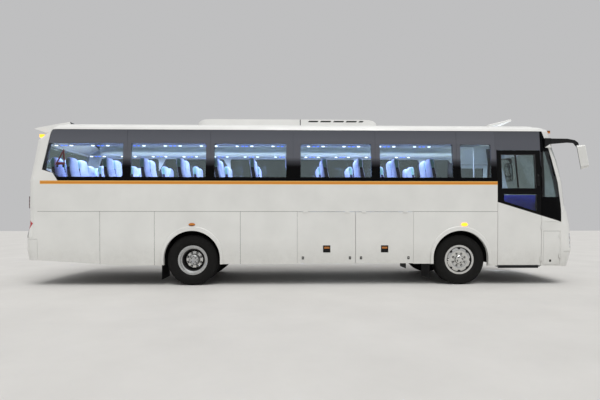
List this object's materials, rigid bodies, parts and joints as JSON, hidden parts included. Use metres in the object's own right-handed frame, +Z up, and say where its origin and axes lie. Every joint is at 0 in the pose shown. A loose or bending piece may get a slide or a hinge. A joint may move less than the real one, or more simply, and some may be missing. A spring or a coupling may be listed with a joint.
{
  "type": "coach bus",
  "caption": "Single-deck right-hand-drive touring coach with a driver's door, luggage flaps, roof air unit and twin rear wheels.",
  "frame": {"origin": "on the ground, under the middle of the outer box: bumper to the mirrors' leading edge, and mirror to mirror", "axes": "+X forward, +Y to the coach's left, +Z up"},
  "size_m": [12.0499, 3.206, 3.8257],
  "materials": {
    "body_enamel": "gloss white enamel",
    "black_enamel": "gloss black enamel",
    "chassis_paint": "satin black chassis paint",
    "tank_metal": "satin",
    "cast_iron": "rough cast",
    "floor_covering": "matt",
    "rubber": "matt",
    "tyre_rubber": "matt",
    "wheel_chrome": "bright",
    "tinted_glass": "tinted",
    "lamp_lens": "clear moulded",
    "black_plastic": "grained",
    "rack_plastic": "satin",
    "seat_fabric": "woven",
    "curtain_cloth": "woven"
  },
  "bodies": {
    "coach": {"chassis_frame": "chassis_paint", "body_bearers": "chassis_paint", "luggage_bays": "chassis_paint", "engine_block": "cast_iron", "front_axle": "chassis_paint", "rear_axle": "chassis_paint", "leaf_springs": "chassis_paint", "prop_shaft": "chassis_paint", "tanks_and_exhaust": "tank_metal", "floor_deck": "floor_covering", "underfloor_linings": "chassis_paint", "mud_flaps": "rubber", "side_panels": "body_enamel", "window_frames": "black_enamel", "side_glass": "tinted_glass", "roof_panel": "body_enamel", "roof_unit": "body_enamel", "front_panel": "body_enamel", "rear_panel": "body_enamel", "rear_visor": "body_enamel", "end_glass": "tinted_glass", "bumpers": "body_enamel", "lamps": "lamp_lens", "mirrors": "body_enamel", "wipers": "black_plastic", "passenger_seats": "seat_fabric", "driver_seat": "seat_fabric", "dashboard": "black_plastic", "racks_and_handrails": "rack_plastic", "cab_curtain": "curtain_cloth"},
    "knuckle_left": {"knuckle_left": "cast_iron"},
    "knuckle_right": {"knuckle_right": "cast_iron"},
    "track_rod": {"track_rod": "chassis_paint"},
    "steering_wheel": {"steering_wheel": "black_plastic"},
    "wheel_front_left": {"front_left_tyre": "tyre_rubber", "front_left_rim": "wheel_chrome"},
    "wheel_front_right": {"front_right_tyre": "tyre_rubber", "front_right_rim": "wheel_chrome"},
    "wheel_rear_left": {"rear_left_tyres": "tyre_rubber", "rear_left_rims": "wheel_chrome"},
    "wheel_rear_right": {"rear_right_tyres": "tyre_rubber", "rear_right_rims": "wheel_chrome"},
    "driver_door": {"driver_door": "body_enamel", "driver_door_glass": "tinted_glass"},
    "passenger_door": {"passenger_door": "body_enamel", "passenger_door_glass": "tinted_glass"},
    "luggage_flap_right_1": {"luggage_flap_right_1": "body_enamel"},
    "luggage_flap_right_2": {"luggage_flap_right_2": "body_enamel"},
    "luggage_flap_left_1": {"luggage_flap_left_1": "body_enamel"},
    "luggage_flap_left_2": {"luggage_flap_left_2": "body_enamel"},
    "service_flap": {"service_flap": "body_enamel"},
    "boot_door": {"boot_door": "body_enamel"},
    "roof_hatch": {"roof_hatch": "body_enamel"}
  },
  "joints": [
    {"name": "steer_left", "type": "hinge", "parent": "coach", "child": "knuckle_left", "pos_m": [3.335, 0.93, 0.54], "axis": [0, 0, 1], "range_deg": [-36, 36]},
    {"name": "spin_front_left", "type": "hinge", "parent": "knuckle_left", "child": "wheel_front_left", "pos_m": [3.335, 1.1, 0.54], "axis": [0, 1, 0], "continuous": true},
    {"name": "spin_rear_left", "type": "hinge", "parent": "coach", "child": "wheel_rear_left", "pos_m": [-2.445, 0.9375, 0.54], "axis": [0, 1, 0], "continuous": true},
    {"name": "steer_right", "type": "hinge", "parent": "coach", "child": "knuckle_right", "pos_m": [3.335, -0.93, 0.54], "axis": [0, 0, 1], "range_deg": [-36, 36]},
    {"name": "spin_front_right", "type": "hinge", "parent": "knuckle_right", "child": "wheel_front_right", "pos_m": [3.335, -1.1, 0.54], "axis": [0, 1, 0], "continuous": true},
    {"name": "spin_rear_right", "type": "hinge", "parent": "coach", "child": "wheel_rear_right", "pos_m": [-2.445, -0.9375, 0.54], "axis": [0, 1, 0], "continuous": true},
    {"name": "track_rod_pin", "type": "hinge", "parent": "knuckle_left", "child": "track_rod", "pos_m": [3.095, 0.93, 0.443], "axis": [0, 0, 1], "range_deg": [-36, 36]},
    {"name": "turn_steering_wheel", "type": "hinge", "parent": "coach", "child": "steering_wheel", "pos_m": [5.095, -0.735, 1.8], "axis": [-0.6426, 0, 0.7662], "range_deg": [-576, 576]},
    {"name": "open_driver_door", "type": "hinge", "parent": "coach", "child": "driver_door", "pos_m": [5.105, -1.308, 1.6], "axis": [0, 0, 1], "range_deg": [0, 75]},
    {"name": "open_passenger_door", "type": "hinge", "parent": "coach", "child": "passenger_door", "pos_m": [5.105, 1.308, 1.6], "axis": [0, 0, -1], "range_deg": [0, 85]},
    {"name": "open_luggage_flap_right_1", "type": "hinge", "parent": "coach", "child": "luggage_flap_right_1", "pos_m": [0.427, -1.308, 1.583], "axis": [-1, 0, 0], "range_deg": [0, 85]},
    {"name": "open_luggage_flap_right_2", "type": "hinge", "parent": "coach", "child": "luggage_flap_right_2", "pos_m": [1.683, -1.308, 1.583], "axis": [-1, 0, 0], "range_deg": [0, 85]},
    {"name": "open_luggage_flap_left_1", "type": "hinge", "parent": "coach", "child": "luggage_flap_left_1", "pos_m": [0.427, 1.308, 1.583], "axis": [1, 0, 0], "range_deg": [0, 85]},
    {"name": "open_luggage_flap_left_2", "type": "hinge", "parent": "coach", "child": "luggage_flap_left_2", "pos_m": [1.683, 1.308, 1.583], "axis": [1, 0, 0], "range_deg": [0, 85]},
    {"name": "open_service_flap", "type": "hinge", "parent": "coach", "child": "service_flap", "pos_m": [5.5185, -1.308, 0.8], "axis": [0, 0, 1], "range_deg": [0, 80]},
    {"name": "open_boot_door", "type": "hinge", "parent": "coach", "child": "boot_door", "pos_m": [-5.975, 0, 1.995], "axis": [0, 1, 0], "range_deg": [0, 80]},
    {"name": "close_roof_hatch", "type": "hinge", "parent": "coach", "child": "roof_hatch", "pos_m": [4.377, 0, 3.633], "axis": [0, 1, 0], "range_deg": [-60, 14]}
  ],
  "couplings": [
    {"joint": "steer_right", "follows": "steer_left", "ratio": 1},
    {"joint": "track_rod_pin", "follows": "steer_left", "ratio": -1},
    {"joint": "turn_steering_wheel", "follows": "steer_left", "ratio": 16}
  ]
}
